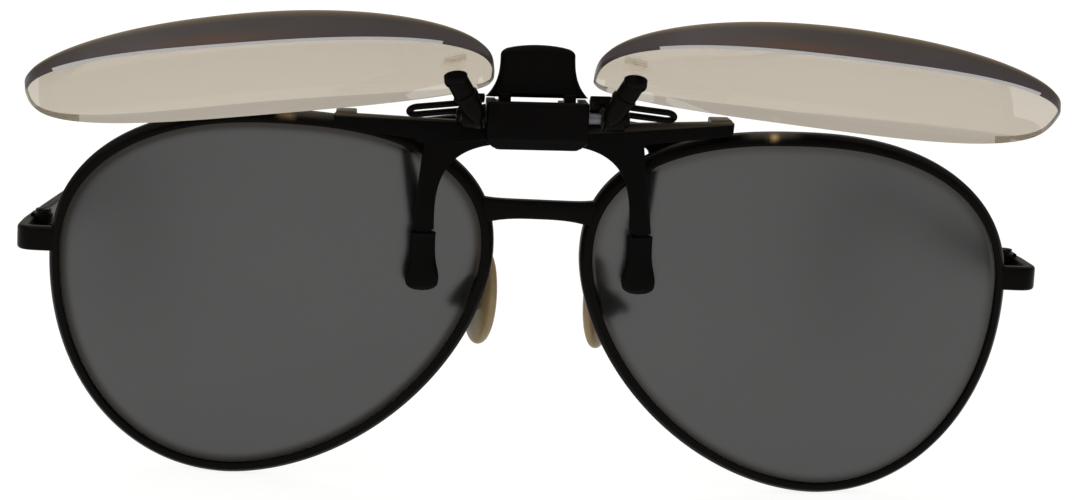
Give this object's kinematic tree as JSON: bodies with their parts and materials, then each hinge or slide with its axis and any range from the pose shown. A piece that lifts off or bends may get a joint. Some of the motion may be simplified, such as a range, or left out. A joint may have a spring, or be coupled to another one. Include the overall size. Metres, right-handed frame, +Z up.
{
  "type": "clip-on flip-up magnifiers on spectacles",
  "caption": "Aviator spectacles with grey lenses, carrying a sprung clip whose rimless magnifying lenses flip up and down on an axle above the bridge.",
  "frame": {"origin": "middle of the bounding box on the plane that the rims and temple tips stand on", "axes": "+Z up, +Y from the lenses back along the open temples, +X to the viewer's right seen from the front"},
  "size_m": [0.1418, 0.163, 0.0678],
  "materials": {
    "black_metal": "satin",
    "black_plastic": "satin",
    "sun_lens": "gloss",
    "clear_nylon": "satin",
    "clear_lens": "gloss",
    "pad_silicone": "satin",
    "sleeve_rubber": "matte",
    "steel": "satin"
  },
  "bodies": {
    "spectacle_front": {"eyewire_left": "black_metal", "eyewire_right": "black_metal", "sun_lens_left": "sun_lens", "sun_lens_right": "sun_lens", "pad_arm_left": "black_metal", "pad_arm_right": "black_metal", "endpiece_left": "black_metal", "endpiece_right": "black_metal", "hinge_screw_left": "steel", "hinge_screw_right": "steel", "bridge": "black_metal", "hinge_housing": "black_plastic", "front_jaw": "black_plastic", "jaw_spring": "steel", "housing_screw_left": "steel", "housing_screw_right": "steel", "front_sleeve_left": "sleeve_rubber", "front_sleeve_right": "sleeve_rubber"},
    "flip_unit": {"flip_axle": "steel", "flip_lens_left": "clear_lens", "flip_lens_right": "clear_lens", "lens_bracket_left": "black_metal", "lens_bracket_right": "black_metal", "lens_screw_left": "clear_nylon", "lens_screw_right": "clear_nylon", "lens_washer_left": "clear_nylon", "lens_washer_right": "clear_nylon", "edge_rest_left": "black_metal", "edge_rest_right": "black_metal", "friction_washer_left": "steel", "friction_washer_right": "steel"},
    "jaw_lever": {"rear_jaw": "black_plastic", "rear_sleeve_left": "sleeve_rubber", "rear_sleeve_right": "sleeve_rubber"},
    "temple_arm_left": {"temple_left": "black_metal", "temple_tip_left": "black_plastic"},
    "temple_arm_right": {"temple_right": "black_metal", "temple_tip_right": "black_plastic"},
    "nose_pad_left": {"nose_pad_left": "pad_silicone"},
    "nose_pad_right": {"nose_pad_right": "pad_silicone"}
  },
  "joints": [
    {"name": "flip", "type": "hinge", "parent": "spectacle_front", "child": "flip_unit", "pos_m": [-0.0006, -0.06244, 0.05291], "axis": [0.9998, 0, 0.0209], "range_deg": [0, 116.5]},
    {"name": "jaw_pinch", "type": "hinge", "parent": "spectacle_front", "child": "jaw_lever", "pos_m": [-0.0006, -0.06244, 0.05291], "axis": [0.9998, 0, 0.0209], "range_deg": [0, 20], "stiffness_Nm_per_rad": 0.08, "deforming": ["jaw_spring"]},
    {"name": "temple_fold_left", "type": "hinge", "parent": "spectacle_front", "child": "temple_arm_left", "pos_m": [-0.06833, -0.03903, 0.03226], "axis": [0, 0, -1], "range_deg": [0, 88]},
    {"name": "temple_fold_right", "type": "hinge", "parent": "spectacle_front", "child": "temple_arm_right", "pos_m": [0.06833, -0.03903, 0.03226], "axis": [0, 0, 1], "range_deg": [0, 84]},
    {"name": "pad_rock_left", "type": "hinge", "parent": "spectacle_front", "child": "nose_pad_left", "pos_m": [-0.00898, -0.04838, 0.02596], "axis": [0.0791, -0.1487, 0.9857], "range_deg": [-8, 8]},
    {"name": "pad_rock_right", "type": "hinge", "parent": "spectacle_front", "child": "nose_pad_right", "pos_m": [0.01128, -0.04838, 0.02596], "axis": [-0.0791, -0.1487, 0.9857], "range_deg": [-8, 8]}
  ]
}
